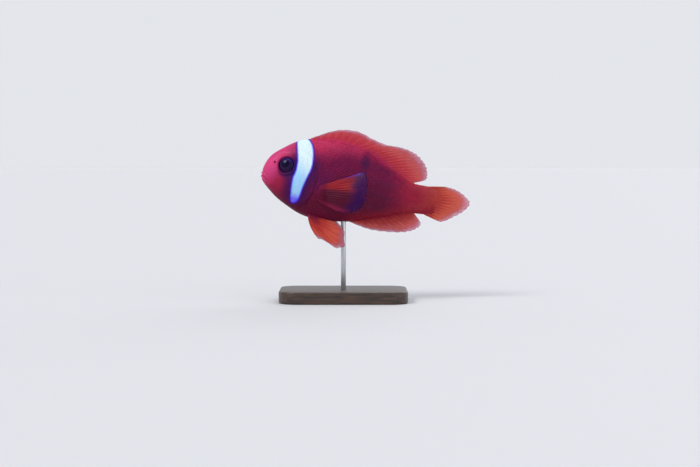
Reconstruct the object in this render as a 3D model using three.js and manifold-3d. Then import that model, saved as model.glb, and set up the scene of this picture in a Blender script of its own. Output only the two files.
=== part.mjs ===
// Tomato clownfish on a display stand: a still, life-size model of an adult fish, swimming with its
// nose a little raised, held up by one rod on a flat base.
//
// Units are millimetres and +Z is up. The origin is the centre of the base's underside, below the
// rod. The fish heads towards -X and its left side looks towards -Y.
//
// The fish is shaped in a frame of its own: x runs back from the tip of the snout, z is the height
// above the line from the snout to the middle of the tail's root, and y is the distance from the
// middle plane. Places and sizes on the fish are shares of its standard length, which is measured
// from the snout to the tail's root.
import * as THREE from "three";
import { mergeVertices } from "three/addons/utils/BufferGeometryUtils.js";
import Module from "manifold-3d";

const wasm = await Module();
wasm.setup();

// ---- driving dimensions -------------------------------------------------------------------------

const STANDARD_LENGTH = 84;
const GAP = 0.3; // clearance kept between neighbouring pieces
const NOSE_UP = THREE.MathUtils.degToRad(8.9);
const TAIL_SWING = 0.036; // how far the tail's root has swung to the fish's right, as a share of the length
const SWING_FROM = 0.42; // where along the fish the swing starts

const ROD_RADIUS = 1.25;
const ROD_SIDES = 20;
const ROD_AT = 0.527; // where along the fish the rod enters the belly, between the pelvic and the anal fins
const ROD_IN_BODY = 6;
const ROD_FREE_LENGTH = 34; // from the base's top to the belly
const BASE = { length: 64, width: 42, height: 6, corner: 9, chamfer: 0.8 };
const ROD_IN_BASE = 4;

// ---- finishes -----------------------------------------------------------------------------------

const finish = (color, roughness, metalness = 0) =>
  new THREE.MeshStandardMaterial({ color, roughness, metalness });

const RED_SKIN = finish(0xb5281f, 0.45);
const DARK_SKIN = finish(0x5a1426, 0.45);
const WHITE_BAR = finish(0xe6f2f7, 0.4);
const ORANGE_FIN = finish(0xcf4a1d, 0.5);
const EYE = finish(0x17101f, 0.12);
const BLACK_WOOD = finish(0x1d1b1a, 0.5);
const STEEL = finish(0xb9bcc0, 0.3, 1);

// ---- helpers ------------------------------------------------------------------------------------

// A smooth curve through points [x, y, z] that are shares of the standard length.
const curveThrough = (points) =>
  new THREE.CatmullRomCurve3(
    points.map(([x, y, z]) => new THREE.Vector3(x, y, z).multiplyScalar(STANDARD_LENGTH)),
    false,
    "catmullrom",
    0.5,
  );

// The same for an outline in the middle plane, given as [x, z].
const outlineThrough = (points) => curveThrough(points.map(([x, z]) => [x, 0, z]));

// How far the middle plane has swung sideways at a distance x from the snout.
function swing(x) {
  const past = Math.max(0, x / STANDARD_LENGTH - SWING_FROM) / (1 - SWING_FROM);
  return TAIL_SWING * STANDARD_LENGTH * past * past;
}

// Turns a closed geometry into a solid, with its faces pointing out.
function solid(geometry) {
  const bare = geometry.clone();
  bare.deleteAttribute("normal");
  bare.deleteAttribute("uv");
  const merged = mergeVertices(bare, 1e-4);
  const make = (triVerts) =>
    new wasm.Manifold(
      new wasm.Mesh({ numProp: 3, vertProperties: merged.attributes.position.array, triVerts }),
    );
  const corners = Uint32Array.from(merged.index.array);
  const made = make(corners);
  return made.volume() > 0 ? made : make(corners.reverse());
}

function geometryOf(manifold) {
  const { vertProperties, triVerts } = manifold.getMesh();
  const geometry = new THREE.BufferGeometry();
  geometry.setAttribute("position", new THREE.BufferAttribute(vertProperties, 3));
  geometry.setIndex(new THREE.BufferAttribute(triVerts, 1));
  geometry.computeVertexNormals();
  return geometry;
}

// Moves each vertex of a geometry to where place(vertex) says.
function reshape(geometry, place) {
  const position = geometry.getAttribute("position");
  const vertex = new THREE.Vector3();
  for (let i = 0; i < position.count; i++) {
    vertex.fromBufferAttribute(position, i);
    const { x, y, z } = place(vertex);
    position.setXYZ(i, x, y, z);
  }
  return geometry;
}

// A prism across the whole fish, from its outline in side view given as [x, z] shares of the length.
function sideKnife(outline) {
  const corners = outline.map(([x, z]) => new THREE.Vector2(x, z).multiplyScalar(STANDARD_LENGTH));
  const prism = new THREE.ExtrudeGeometry(new THREE.Shape(corners), {
    depth: 2 * STANDARD_LENGTH,
    bevelEnabled: false,
  });
  prism.rotateX(Math.PI / 2);
  prism.translate(0, STANDARD_LENGTH, 0);
  return solid(prism);
}

// ---- body ---------------------------------------------------------------------------------------

// Sections across the fish, from the snout to the tail's root.
const SECTIONS = [
  { along: 0.0, back: 0.006, belly: 0.006, half: 0.0 },
  { along: 0.005, back: 0.048, belly: -0.02, half: 0.027 },
  { along: 0.02, back: 0.091, belly: -0.042, half: 0.042 },
  { along: 0.05, back: 0.136, belly: -0.071, half: 0.057 },
  { along: 0.106, back: 0.182, belly: -0.116, half: 0.075 },
  { along: 0.175, back: 0.228, belly: -0.155, half: 0.091 },
  { along: 0.258, back: 0.259, belly: -0.192, half: 0.102 },
  { along: 0.345, back: 0.269, belly: -0.209, half: 0.104 },
  { along: 0.45, back: 0.269, belly: -0.208, half: 0.101 },
  { along: 0.57, back: 0.249, belly: -0.192, half: 0.09 },
  { along: 0.69, back: 0.194, belly: -0.158, half: 0.072 },
  { along: 0.803, back: 0.135, belly: -0.123, half: 0.052 },
  { along: 0.9, back: 0.094, belly: -0.092, half: 0.036 },
  { along: 1.0, back: 0.088, belly: -0.084, half: 0.023 },
];
const WIDEST = 0.47; // height of the widest level, as a share of the depth
const BACK_ROUNDNESS = 1.85; // exponents of the sections' upper and lower halves, where 2 is an ellipse
const BELLY_ROUNDNESS = 2.1;
const BODY_AROUND = 24;
const BODY_ALONG = 38;

const sectionCurve = (key) => outlineThrough(SECTIONS.map((section) => [section.along, section[key]]));
const BODY_CURVES = {
  back: sectionCurve("back"),
  belly: sectionCurve("belly"),
  half: sectionCurve("half"),
};

// The section at a share t of the way through SECTIONS, grown by a margin on every side.
function sectionAt(t, grown) {
  const { x, z: back } = BODY_CURVES.back.getPoint(t);
  const belly = BODY_CURVES.belly.getPoint(t).z;
  const half = BODY_CURVES.half.getPoint(t).z;
  return {
    x: x + grown * (2 * t - 1),
    half: Math.max(0, half) + grown,
    middle: belly + WIDEST * (back - belly),
    up: (1 - WIDEST) * (back - belly) + grown,
    down: WIDEST * (back - belly) + grown,
  };
}

const roundedShare = (value, roundness) => Math.sign(value) * Math.abs(value) ** (2 / roundness);

// The whole body without fins: a ball drawn out from pole to pole, with its rings fitted to the sections. The
// last ring already lies at the tail's root, so the tail stalk ends in a flat face.
function wholeBody(grown = 0) {
  const ball = new THREE.SphereGeometry(1, BODY_AROUND, BODY_ALONG);
  const body = reshape(ball, (vertex) => {
    const ring = (Math.acos(THREE.MathUtils.clamp(vertex.y, -1, 1)) / Math.PI) * BODY_ALONG;
    const { x, half, middle, up, down } = sectionAt(Math.min(1, ring / (BODY_ALONG - 1)), grown);
    const outwards = Math.hypot(vertex.x, vertex.z);
    const isPole = outwards < 1e-6;
    const across = isPole ? 0 : vertex.x / outwards;
    const upwards = isPole ? 0 : vertex.z / outwards;
    const roundness = upwards > 0 ? BACK_ROUNDNESS : BELLY_ROUNDNESS;
    return {
      x,
      y: half * roundedShare(across, roundness) + swing(x),
      z: middle + (upwards > 0 ? up : down) * roundedShare(upwards, roundness),
    };
  });
  return solid(body);
}

// ---- parting the body ---------------------------------------------------------------------------

// Side outlines of the knives. Each part's knife is repeated a gap larger to clear its neighbour.
const HEAD_REAR = outlineThrough([
  [0.262, 0.4],
  [0.268, 0.24],
  [0.296, 0.14],
  [0.325, 0.05],
  [0.326, -0.03],
  [0.292, -0.11],
  [0.225, -0.19],
  [0.16, -0.3],
]);
const HEAD_REAR_STEPS = 14;
function headOutline(moved) {
  const rear = HEAD_REAR.getPoints(HEAD_REAR_STEPS);
  const shares = rear.map(({ x, z }) => [(x + moved) / STANDARD_LENGTH, z / STANDARD_LENGTH]);
  return [[-0.2, -0.3], [-0.2, 0.4], ...shares];
}
const GILL_COVER = { middle: [0.315, -0.008], radii: [0.095, 0.136], lean: -0.12, depth: 0.06 };
const JAW = [
  [-0.1, 0.034],
  [0.0, 0.006],
  [0.05, -0.022],
  [0.06, -0.045],
  [0.141, -0.134],
  [0.1, -0.3],
  [-0.1, -0.3],
];
const TAIL_STALK_FROM = 0.83;

const EYE_BALL = { middle: [0.138, 0.086], radius: 0.0475, depth: 0.03, standsAt: 0.054 };
const EYE_FORWARD = THREE.MathUtils.degToRad(17);
const EYE_UPWARD = THREE.MathUtils.degToRad(10);

// An eye, flattened along its own axis, on the side that sign gives: -1 for the left and 1 for the right.
function eyeBall(sign, grown = 0) {
  const radius = EYE_BALL.radius * STANDARD_LENGTH + grown;
  const depth = EYE_BALL.depth * STANDARD_LENGTH + grown;
  const [x, z] = EYE_BALL.middle;
  const ball = new THREE.SphereGeometry(1, 16, 10);
  ball.scale(radius, depth, radius);
  ball.rotateX(EYE_UPWARD * sign);
  ball.rotateZ(EYE_FORWARD * sign);
  ball.translate(x * STANDARD_LENGTH, sign * EYE_BALL.standsAt * STANDARD_LENGTH, z * STANDARD_LENGTH);
  return solid(ball);
}

// The block that parts a gill cover from the head: an upright oval in side view, from a plane inside the head
// outwards.
function gillCoverBlock(sign, grown = 0) {
  const [x, z] = GILL_COVER.middle;
  const [along, high] = GILL_COVER.radii;
  const inner = GILL_COVER.depth * STANDARD_LENGTH - grown;
  const block = new THREE.CylinderGeometry(1, 1, STANDARD_LENGTH, 24, 1);
  block.scale(along * STANDARD_LENGTH + grown, 1, high * STANDARD_LENGTH + grown);
  block.rotateY(GILL_COVER.lean);
  block.translate(x * STANDARD_LENGTH, sign * (inner + STANDARD_LENGTH / 2), z * STANDARD_LENGTH);
  return solid(block);
}

function stalkKnife(moved) {
  const from = TAIL_STALK_FROM + moved / STANDARD_LENGTH;
  return sideKnife([
    [from, -0.4],
    [1.4, -0.4],
    [1.4, 0.4],
    [from, 0.4],
  ]);
}

// ---- fins ---------------------------------------------------------------------------------------

const FIN_ROWS = 4; // steps from a fin's root to its tips

// A fin between its root line and its tip line, with one ridge for each ray and one furrow for each membrane.
// Both lines give a point for a share s along the fin. The rays bow by a share of their length, membranes are
// notched at the margin, and the blade waves sideways towards its tips.
function fin(shape) {
  const { root, tip, rays, normal, thick, notch = 0.02 } = shape;
  const { bow = new THREE.Vector3(), wave = 0, waves = 1.5, swings = true } = shape;
  const sheet = new THREE.BoxGeometry(1, 1, 1, 2 * rays - 2, FIN_ROWS, 1);
  const blade = reshape(sheet, (vertex) => {
    const s = vertex.x + 0.5;
    const onRay = Math.round(s * (2 * rays - 2)) % 2 === 0;
    const t = (vertex.y + 0.5) * (onRay ? 1 : 1 - notch);
    const from = root(s);
    const ray = tip(s).sub(from);
    const point = from.addScaledVector(ray, t);
    point.addScaledVector(bow, 4 * t * (1 - t) * ray.length());
    point.addScaledVector(normal, wave * t * Math.sin(2 * Math.PI * waves * s));
    const half = (THREE.MathUtils.lerp(thick.root, thick.tip, t) / 2) * (onRay ? 1 : 0.66);
    point.addScaledVector(normal, 2 * vertex.z * half);
    if (swings) point.y += swing(point.x);
    return point;
  });
  return solid(blade);
}

const along = (curve) => (s) => curve.getPoint(s);
const ACROSS = new THREE.Vector3(0, 1, 0);

// Spiny and soft parts of the dorsal fin share one margin. The roots run a little inside the back.
const DORSAL_ROOT = outlineThrough([
  [0.268, 0.238],
  [0.35, 0.25],
  [0.44, 0.252],
  [0.53, 0.24],
  [0.6, 0.222],
  [0.69, 0.175],
  [0.78, 0.128],
  [0.873, 0.08],
]);
const DORSAL_MARGIN = outlineThrough([
  [0.3, 0.284],
  [0.37, 0.32],
  [0.45, 0.344],
  [0.54, 0.344],
  [0.625, 0.315],
  [0.71, 0.294],
  [0.81, 0.29],
  [0.89, 0.268],
  [0.952, 0.222],
  [0.981, 0.165],
  [0.976, 0.122],
  [0.925, 0.1],
]);
const SPINY_SHARE = 0.46; // of the way along the dorsal fin
const SPINES = 10;
const DORSAL_SOFT_RAYS = 17;

function stretchOf(curve, from, to) {
  return (s) => curve.getPoint(THREE.MathUtils.lerp(from, to, s));
}

const spinyDorsal = () =>
  fin({
    root: stretchOf(DORSAL_ROOT, 0, 0.51),
    tip: stretchOf(DORSAL_MARGIN, 0, SPINY_SHARE),
    rays: SPINES,
    normal: ACROSS,
    thick: { root: 1.7, tip: 0.7 },
    notch: 0.05,
  });

const softDorsal = () =>
  fin({
    root: stretchOf(DORSAL_ROOT, 0.525, 1),
    tip: stretchOf(DORSAL_MARGIN, SPINY_SHARE + 0.014, 1),
    rays: DORSAL_SOFT_RAYS,
    normal: ACROSS,
    thick: { root: 1.6, tip: 0.6 },
    wave: 0.8,
  });

const ANAL_ROOT = outlineThrough([
  [0.575, -0.17],
  [0.66, -0.148],
  [0.75, -0.122],
  [0.84, -0.094],
  [0.92, -0.07],
]);
const ANAL_MARGIN = outlineThrough([
  [0.59, -0.203],
  [0.66, -0.218],
  [0.75, -0.223],
  [0.86, -0.214],
  [0.935, -0.194],
  [0.978, -0.166],
  [0.986, -0.136],
  [0.95, -0.097],
]);
const ANAL_RAYS = 15;

const analFin = () =>
  fin({
    root: along(ANAL_ROOT),
    tip: along(ANAL_MARGIN),
    rays: ANAL_RAYS,
    normal: ACROSS,
    thick: { root: 1.6, tip: 0.6 },
    notch: 0.03,
    wave: 0.5,
  });

const CAUDAL_FROM = 1 + GAP / STANDARD_LENGTH;
const CAUDAL_ROOT = outlineThrough([
  [CAUDAL_FROM, 0.087],
  [CAUDAL_FROM, 0.0],
  [CAUDAL_FROM, -0.083],
]);
const CAUDAL_MARGIN = outlineThrough([
  [1.1, 0.101],
  [1.165, 0.092],
  [1.225, 0.063],
  [1.264, 0.024],
  [1.232, -0.03],
  [1.178, -0.072],
  [1.112, -0.112],
  [1.062, -0.104],
]);
const CAUDAL_RAYS = 16;

const caudalFin = () =>
  fin({
    root: along(CAUDAL_ROOT),
    tip: along(CAUDAL_MARGIN),
    rays: CAUDAL_RAYS,
    normal: ACROSS,
    thick: { root: 2.6, tip: 0.6 },
    wave: 0.5,
  });

// Paired fins are given for the right side and mirrored for the left.
const mirrored = (curve, sign) => (s) => {
  const point = curve.getPoint(s);
  point.y *= sign;
  return point;
};

const PECTORAL_ROOT = curveThrough([
  [0.345, 0.094, -0.014],
  [0.352, 0.097, -0.055],
  [0.357, 0.082, -0.098],
]);
const PECTORAL_MARGIN = curveThrough([
  [0.61, 0.182, 0.121],
  [0.634, 0.206, 0.075],
  [0.641, 0.22, 0.01],
  [0.634, 0.222, -0.05],
  [0.61, 0.208, -0.102],
  [0.56, 0.178, -0.134],
  [0.497, 0.14, -0.142],
]);
const PECTORAL_RAYS = 17;
const PECTORAL_FLARE = THREE.MathUtils.degToRad(25);

const pectoralFin = (sign) =>
  fin({
    root: mirrored(PECTORAL_ROOT, sign),
    tip: mirrored(PECTORAL_MARGIN, sign),
    rays: PECTORAL_RAYS,
    normal: new THREE.Vector3(-Math.sin(PECTORAL_FLARE), sign * Math.cos(PECTORAL_FLARE), 0),
    thick: { root: 1.4, tip: 0.6 },
    wave: 0.5,
    waves: 1,
    swings: false,
  });

const PELVIC_ROOT = curveThrough([
  [0.31, 0.037, -0.176],
  [0.338, 0.035, -0.187],
  [0.37, 0.027, -0.193],
]);
const PELVIC_MARGIN = curveThrough([
  [0.395, 0.082, -0.319],
  [0.448, 0.098, -0.332],
  [0.512, 0.112, -0.355],
  [0.559, 0.112, -0.334],
  [0.543, 0.088, -0.256],
  [0.496, 0.062, -0.216],
]);
const PELVIC_RAYS = 6;
const PELVIC_SPLAY = THREE.MathUtils.degToRad(26);

const pelvicFin = (sign) =>
  fin({
    root: mirrored(PELVIC_ROOT, sign),
    tip: mirrored(PELVIC_MARGIN, sign),
    rays: PELVIC_RAYS,
    normal: new THREE.Vector3(0, sign * Math.cos(PELVIC_SPLAY), Math.sin(PELVIC_SPLAY)),
    thick: { root: 1.5, tip: 0.7 },
    notch: 0.05,
    bow: new THREE.Vector3(-0.1, 0, -0.02),
    swings: false,
  });

// ---- stand --------------------------------------------------------------------------------------

const BELLY_AT_ROD = -0.197 * STANDARD_LENGTH;
const BELLY_HEIGHT = BASE.height + ROD_FREE_LENGTH;
const ROD_FOOT = BASE.height - ROD_IN_BASE + GAP;
const ROD_TOP = BELLY_HEIGHT + ROD_IN_BODY;

function rodCylinder(grown = 0) {
  const radius = ROD_RADIUS + grown;
  const rod = new THREE.CylinderGeometry(radius, radius, ROD_TOP - ROD_FOOT + 2 * grown, ROD_SIDES);
  rod.rotateX(Math.PI / 2);
  rod.translate(0, 0, (ROD_TOP + ROD_FOOT) / 2);
  return rod;
}

function baseSlab() {
  const { length, width, height, corner, chamfer } = BASE;
  const [x, y, r] = [length / 2 - chamfer, width / 2 - chamfer, corner - chamfer];
  const outline = new THREE.Shape();
  outline.moveTo(-x + r, -y);
  outline.absarc(x - r, -y + r, r, -Math.PI / 2, 0);
  outline.absarc(x - r, y - r, r, 0, Math.PI / 2);
  outline.absarc(-x + r, y - r, r, Math.PI / 2, Math.PI);
  outline.absarc(-x + r, -y + r, r, Math.PI, 1.5 * Math.PI);
  const slab = new THREE.ExtrudeGeometry(outline, {
    depth: height - 2 * chamfer,
    bevelSize: chamfer,
    bevelThickness: chamfer,
    bevelSegments: 1,
    curveSegments: 4,
  });
  slab.translate(0, 0, chamfer);
  return solid(slab).subtract(solid(rodCylinder(GAP)));
}

// ---- putting it together ------------------------------------------------------------------------

const fish = new THREE.Group();
fish.rotation.y = NOSE_UP;
const bellyPlace = new THREE.Vector3(ROD_AT * STANDARD_LENGTH, swing(ROD_AT * STANDARD_LENGTH), BELLY_AT_ROD);
fish.position.set(0, 0, BELLY_HEIGHT).sub(bellyPlace.applyEuler(fish.rotation));
fish.updateMatrixWorld(true);

function addPiece(group, name, shape, material) {
  const mesh = new THREE.Mesh(shape.isBufferGeometry ? shape : geometryOf(shape), material);
  mesh.name = name;
  group.add(mesh);
}

const body = wholeBody();
const bodyAndGap = wholeBody(GAP);
const rodHole = solid(rodCylinder(GAP).applyMatrix4(fish.matrixWorld.clone().invert()));
const SIDES = [
  ["left", -1],
  ["right", 1],
];

let head = body.intersect(sideKnife(headOutline(0)));
for (const [side, sign] of SIDES) {
  addPiece(fish, `gill_cover_${side}`, head.intersect(gillCoverBlock(sign)), WHITE_BAR);
  head = head.subtract(gillCoverBlock(sign, GAP)).subtract(eyeBall(sign, GAP));
  addPiece(fish, `eye_${side}`, eyeBall(sign), EYE);
}
const jawWithGap = JAW.map(([x, z]) => [x + GAP / STANDARD_LENGTH, z + GAP / STANDARD_LENGTH]);
addPiece(fish, "lower_jaw", head.intersect(sideKnife(JAW)), RED_SKIN);
addPiece(fish, "head", head.subtract(sideKnife(jawWithGap)), RED_SKIN);

const behindHead = body.subtract(sideKnife(headOutline(GAP)));
addPiece(fish, "trunk", behindHead.subtract(stalkKnife(-GAP)).subtract(rodHole), DARK_SKIN);
addPiece(fish, "tail_stalk", body.intersect(stalkKnife(0)), RED_SKIN);

addPiece(fish, "dorsal_fin_spiny", spinyDorsal().subtract(bodyAndGap), ORANGE_FIN);
addPiece(fish, "dorsal_fin_soft", softDorsal().subtract(bodyAndGap), ORANGE_FIN);
addPiece(fish, "anal_fin", analFin().subtract(bodyAndGap), ORANGE_FIN);
addPiece(fish, "caudal_fin", caudalFin(), ORANGE_FIN);
for (const [side, sign] of SIDES) {
  addPiece(fish, `pectoral_fin_${side}`, pectoralFin(sign).subtract(bodyAndGap), ORANGE_FIN);
  addPiece(fish, `pelvic_fin_${side}`, pelvicFin(sign).subtract(bodyAndGap), ORANGE_FIN);
}

const model = new THREE.Group();
model.add(fish);
addPiece(model, "stand_base", baseSlab(), BLACK_WOOD);
addPiece(model, "stand_rod", rodCylinder(), STEEL);

export default model;
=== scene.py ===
import math

import bmesh
import bpy
import numpy as np
from mathutils import Matrix, Vector


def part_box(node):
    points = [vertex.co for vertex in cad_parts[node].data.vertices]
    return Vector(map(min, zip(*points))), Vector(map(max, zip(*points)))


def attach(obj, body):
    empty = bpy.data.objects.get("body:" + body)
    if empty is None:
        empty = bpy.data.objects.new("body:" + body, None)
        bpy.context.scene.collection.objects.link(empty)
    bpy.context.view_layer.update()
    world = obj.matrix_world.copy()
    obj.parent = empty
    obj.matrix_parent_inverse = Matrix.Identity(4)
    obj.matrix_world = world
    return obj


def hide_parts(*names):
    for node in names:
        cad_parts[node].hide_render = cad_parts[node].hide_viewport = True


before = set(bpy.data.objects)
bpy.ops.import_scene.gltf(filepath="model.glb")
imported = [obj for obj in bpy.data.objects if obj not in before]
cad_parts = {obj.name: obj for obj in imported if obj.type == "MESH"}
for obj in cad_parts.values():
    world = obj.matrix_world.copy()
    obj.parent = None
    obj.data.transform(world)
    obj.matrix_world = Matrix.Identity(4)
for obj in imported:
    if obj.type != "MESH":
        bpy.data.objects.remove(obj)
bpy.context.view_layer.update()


# ---- Body --------------------------------------------------------------------------------
# Head, jaw, gill covers, trunk and tail stalk are one casting in tinted resin, so the skin runs
# over them without a seam. Mouth, nostrils, gill slits and the folds round the eyes are pressed
# into it. It lies inside the fish's outline by the depth of the scales that are laid on it.

MM = 0.001
NOSE_UP = math.radians(8.9)
TAIL_SWING = 0.036
SWING_FROM = 0.42
TAIL_ROOT_TOP = 0.088
COAT_DEPTH = 0.13 * MM
BODY_AROUND = 192
BODY_RINGS = 236

raised = np.array(Matrix.Rotation(NOSE_UP, 3, "Y"))


def fish_axes(*names):
    """Where the points of some nodes lie in the fish's own axes, with its length level."""
    return np.array([v.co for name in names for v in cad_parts[name].data.vertices]) @ raised


head_points = fish_axes("head", "lower_jaw")
stalk_points = fish_axes("tail_stalk")
snout = head_points[:, 0].min()
LENGTH = stalk_points[:, 0].max() - snout
stalk_end = stalk_points[stalk_points[:, 0] > stalk_points[:, 0].max() - 0.01 * MM]
origin = np.array([snout, (head_points[:, 1].min() + head_points[:, 1].max()) / 2,
                   stalk_end[:, 2].max() - TAIL_ROOT_TOP * LENGTH])


def to_world(points):
    return (points + origin) @ raised.T


def smooth_curve(points, places):
    """Points on a smooth line through the given ones, from place 0 at the first to 1 at the last."""
    points = np.array(points, float)
    ends = np.vstack([2 * points[0] - points[1], points, 2 * points[-1] - points[-2]])
    at = np.clip(places, 0, 1) * (len(points) - 1)
    step = np.minimum(at.astype(int), len(points) - 2)
    f = (at - step)[..., None]
    a, b, c, d = (ends[step + k] for k in range(4))
    return b + 0.5 * f * (c - a + f * (2 * a - 5 * b + 4 * c - d + f * (3 * b - a - 3 * c + d)))


def fade(amount, start, end):
    """0 before the start, 1 after the end and a soft rise between them."""
    part = np.clip((amount - start) / (end - start), 0, 1)
    return part * part * (3 - 2 * part)


def swing(x):
    """How far the middle plane has swung to the fish's right."""
    return TAIL_SWING * LENGTH * (np.maximum(0, x / LENGTH - SWING_FROM) / (1 - SWING_FROM)) ** 2


# Place along the fish, heights of back and belly, and half width, all as shares of its length.
SECTIONS = [(0, 0.006, 0.006, 0), (0.005, 0.048, -0.02, 0.027), (0.02, 0.091, -0.042, 0.042),
            (0.05, 0.136, -0.071, 0.057), (0.106, 0.182, -0.116, 0.075), (0.175, 0.228, -0.155, 0.091),
            (0.258, 0.259, -0.192, 0.102), (0.345, 0.269, -0.209, 0.104), (0.45, 0.269, -0.208, 0.101),
            (0.57, 0.249, -0.192, 0.09), (0.69, 0.194, -0.158, 0.072), (0.803, 0.135, -0.123, 0.052),
            (0.9, 0.094, -0.092, 0.036), (1.0, 0.087, -0.083, 0.0225), (1.035, 0.082, -0.078, 0.013),
            (1.06, 0.073, -0.069, 0.004)]
WIDEST = 0.47
BACK_ROUNDNESS = 1.85
BELLY_ROUNDNESS = 2.1


def body_points(along, around):
    """Points of the body's form, from the snout to the tail and round from the ridge of the back."""
    x, back, belly, half = np.moveaxis(smooth_curve(SECTIONS, along) * LENGTH, -1, 0)
    upwards, across = np.cos(around), np.sin(around)
    power = 2 / (BELLY_ROUNDNESS + (BACK_ROUNDNESS - BELLY_ROUNDNESS) * (1 + upwards) / 2)
    middle = belly + WIDEST * (back - belly)
    height = np.where(upwards > 0, back - middle, middle - belly)
    y = np.maximum(half, 0) * np.sign(across) * np.abs(across) ** power
    z = middle + height * np.sign(upwards) * np.abs(upwards) ** power
    return np.stack([x, y + swing(x), z], -1)


def outward(points, closed):
    """Unit normals of a grid of points whose rows run one way and columns the other."""
    down = np.gradient(points, axis=0)
    if closed:
        over = (np.roll(points, -1, 1) - np.roll(points, 1, 1)) / 2
    else:
        over = np.gradient(points, axis=1)
    normals = np.cross(down, over)
    return normals / np.maximum(np.linalg.norm(normals, axis=-1, keepdims=True), 1e-12)


def from_line(u, v, points):
    """Distances in millimetres from a line on the flank, positive on its left, and the place along it."""
    line = smooth_curve(points, np.linspace(0, 1, 40))
    start, way = line[:-1], np.diff(line, axis=0)
    ahead = np.stack([u, v], -1)[..., None, :] - start
    part = np.clip((ahead * way).sum(-1) / (way ** 2).sum(-1), 0, 1)
    distance = np.linalg.norm(ahead - part[..., None] * way, axis=-1)
    nearest = distance.argmin(-1)[..., None]
    cross = way[:, 0] * ahead[..., 1] - way[:, 1] * ahead[..., 0]
    pick = lambda values: np.take_along_axis(values, nearest, -1)[..., 0]
    return np.sign(pick(cross)) * pick(distance) * LENGTH / MM, (nearest[..., 0] + pick(part)) / len(way)


def from_spot(u, v, spot):
    """Distances in millimetres from a spot on the flank."""
    return np.hypot(u - spot[0], v - spot[1]) * LENGTH / MM


def ridge(distance, width):
    """1 on a line or spot, falling away over the width on both sides of it."""
    return np.exp(-(distance / width) ** 2)


def plate_edge(distance, high, reach, groove, width):
    """A plate that stands highest just ahead of its edge and drops into a groove behind it."""
    ahead = 1 / (1 + np.exp(np.clip(-distance / 0.1, -50, 50)))
    behind = 1 - ahead
    return high * ridge(np.maximum(distance, 0), reach) * ahead - groove * ridge(distance, width) * behind


MOUTH = [(-0.02, 0.016), (0, 0.006), (0.026, -0.01), (0.046, -0.027)]
NOSTRIL = (0.072, 0.09)
PORES = [(0.06, 0.062), (0.068, 0.042), (0.082, 0.027), (0.052, 0.096), (0.062, 0.118), (0.08, 0.138),
         (0.04, 0.07), (0.05, -0.05), (0.068, -0.064), (0.09, -0.08)]
CHEEK_EDGE = [(0.15, -0.125), (0.19, -0.09), (0.205, -0.03), (0.203, 0.04), (0.19, 0.1)]
GILL_EDGE = [(0.2, -0.19), (0.243, -0.155), (0.292, -0.11), (0.32, -0.05), (0.328, 0.02), (0.312, 0.09),
             (0.285, 0.15)]
CHIN_FOLD = [(0.045, -0.062), (0.09, -0.085), (0.14, -0.128), (0.2, -0.172)]
EYE_FOLD = [(0.055, 0.03), (0.1, 0.012), (0.16, 0.02), (0.2, 0.05)]
SIDE_LINE = [(0.28, 0.165), (0.36, 0.2), (0.46, 0.208), (0.56, 0.187), (0.65, 0.15), (0.74, 0.112)]
ARM_PAD = (0.346, -0.056, 0.02, 0.056)
EYE_AT = (0.138, 0.086)
EYE_RADIUS = 4.15


def relief(u, v):
    """How far the skin's folds and creases stand out from the body's form, in millimetres."""
    # Lips, the gape between them and the dimple at its corner
    d, at = from_line(u, v, MOUTH)
    gape = fade(at, 1.0, 0.84)
    lips = 0.24 * ridge(d - 0.72, 0.46) + 0.26 * ridge(d + 0.7, 0.46)
    high = gape * (lips - 0.5 * ridge(d, 0.22) - 0.2 * ridge(d - 1.5, 0.34) - 0.2 * ridge(d + 1.45, 0.34))
    high -= 0.25 * ridge(from_spot(u, v, (MOUTH[-1][0] + 0.004, MOUTH[-1][1] - 0.002)), 0.8)
    # Nostril with its raised rim, and the pores of the head
    r = from_spot(u, v, NOSTRIL)
    high += 0.2 * ridge(r - 0.78, 0.28) - 0.8 * ridge(r, 0.4)
    for pore in PORES:
        high -= 0.16 * ridge(from_spot(u, v, pore), 0.26)
    # Rim and groove round the eye, its socket and the fold below it
    r = from_spot(u, v, EYE_AT)
    high += 0.2 * ridge(r - EYE_RADIUS - 0.65, 0.5) - 0.14 * ridge(r - EYE_RADIUS - 1.7, 0.5)
    high -= 1.7 * fade(r, EYE_RADIUS + 0.02, EYE_RADIUS - 0.45)
    d, at = from_line(u, v, EYE_FOLD)
    high -= 0.13 * ridge(d, 0.35) * fade(at, 0, 0.2) * fade(at, 1, 0.8)
    # Cheek plate with its toothed edge, gill cover and the crease along the chin
    d, at = from_line(u, v, CHEEK_EDGE)
    high += plate_edge(d, 0.16, 2.2, 0.14, 0.5) * fade(at, 0, 0.15) * fade(at, 1, 0.8)
    high += 0.035 * np.sin(at * 95) * ridge(d - 0.5, 0.5)
    d, at = from_line(u, v, GILL_EDGE)
    high += plate_edge(d, 0.48, 2.4, 0.34, 0.6) * fade(at, 0.05, 0.32) * fade(at, 1, 0.86)
    d, at = from_line(u, v, CHIN_FOLD)
    high -= 0.2 * ridge(d, 0.4) * fade(at, 0, 0.25) * fade(at, 0.85, 0.5)
    # Side line and the fleshy pad at the pectoral fin's root
    d, at = from_line(u, v, SIDE_LINE)
    high += 0.1 * ridge(d, 0.5) * fade(at, 0, 0.05) * fade(at, 1, 0.9)
    pad_u, pad_v, pad_long, pad_high = ARM_PAD
    high += 0.45 * fade(np.hypot((u - pad_u) / pad_long, (v - pad_v) / pad_high), 1.35, 0.6)
    return high


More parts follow.
